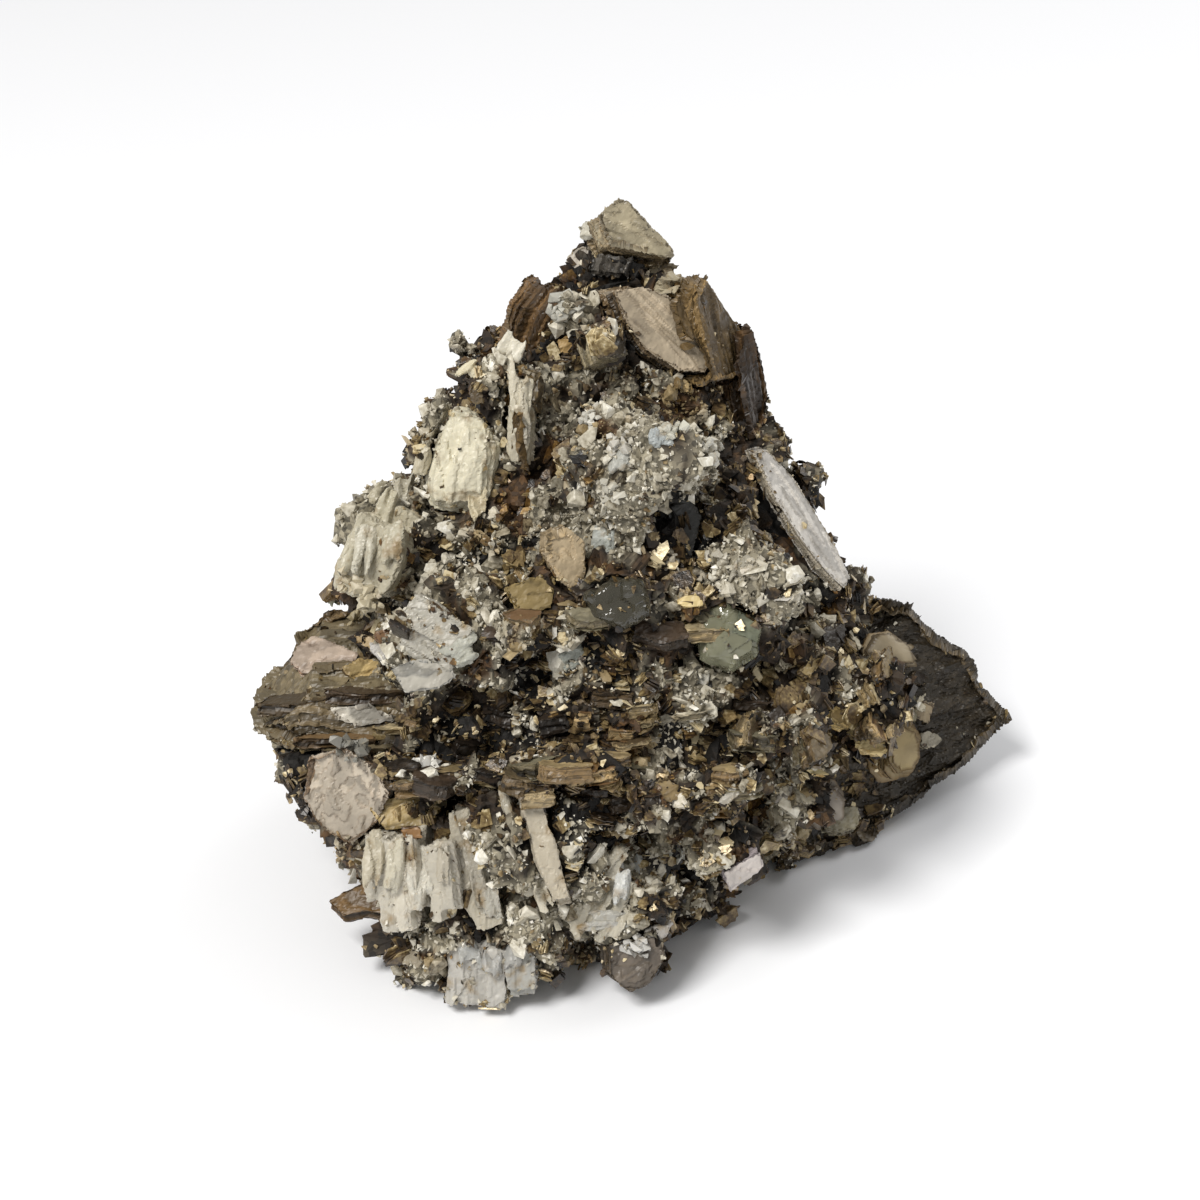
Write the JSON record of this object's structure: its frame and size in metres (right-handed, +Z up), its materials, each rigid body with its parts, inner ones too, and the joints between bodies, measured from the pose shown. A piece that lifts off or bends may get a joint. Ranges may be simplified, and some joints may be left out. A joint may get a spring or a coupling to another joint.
{
  "type": "mica crystal specimen",
  "caption": "Free-standing mineral specimen: books and plates of mica with white feldspar blades and glassy quartz, grown together in a rough matrix shaped like a peak.",
  "frame": {"origin": "on the ground, under the middle of the specimen's box", "axes": "+Z up, -Y the face with the crystals, +X to the right of that face, towards the dark slab"},
  "size_m": [0.1168, 0.0826, 0.0998],
  "materials": {
    "matrix": "matte, sugary, intergrown grains",
    "mica": "pearly cleavage faces and striated edges",
    "dark_mica": "dark pearly cleavage faces, stepped edges",
    "feldspar": "milky, satin cleavage faces",
    "quartz": "glassy, smoky, see-through"
  },
  "bodies": {
    "root": {"matrix": "matrix", "apex_book": "mica", "silver_book": "mica", "fan_book": "mica", "side_plate": "mica", "ledge_book": "mica", "pink_plate": "mica", "tab_book": "mica", "upper_rosette": "mica", "middle_rosette": "mica", "lower_rosette": "mica", "leaf_book": "mica", "shoulder_book": "dark_mica", "dark_slab": "dark_mica", "toe_book": "dark_mica", "crest_book": "dark_mica", "wedge_blade": "feldspar", "shoulder_blade": "feldspar", "ridge_blade": "feldspar", "left_long_blade": "feldspar", "middle_long_blade": "feldspar", "ribbed_block": "feldspar", "heel_block": "feldspar", "small_heel_block": "feldspar", "waist_slab": "feldspar", "elbow_blade": "feldspar", "green_quartz": "quartz", "smoky_quartz": "quartz"}
  },
  "joints": []
}
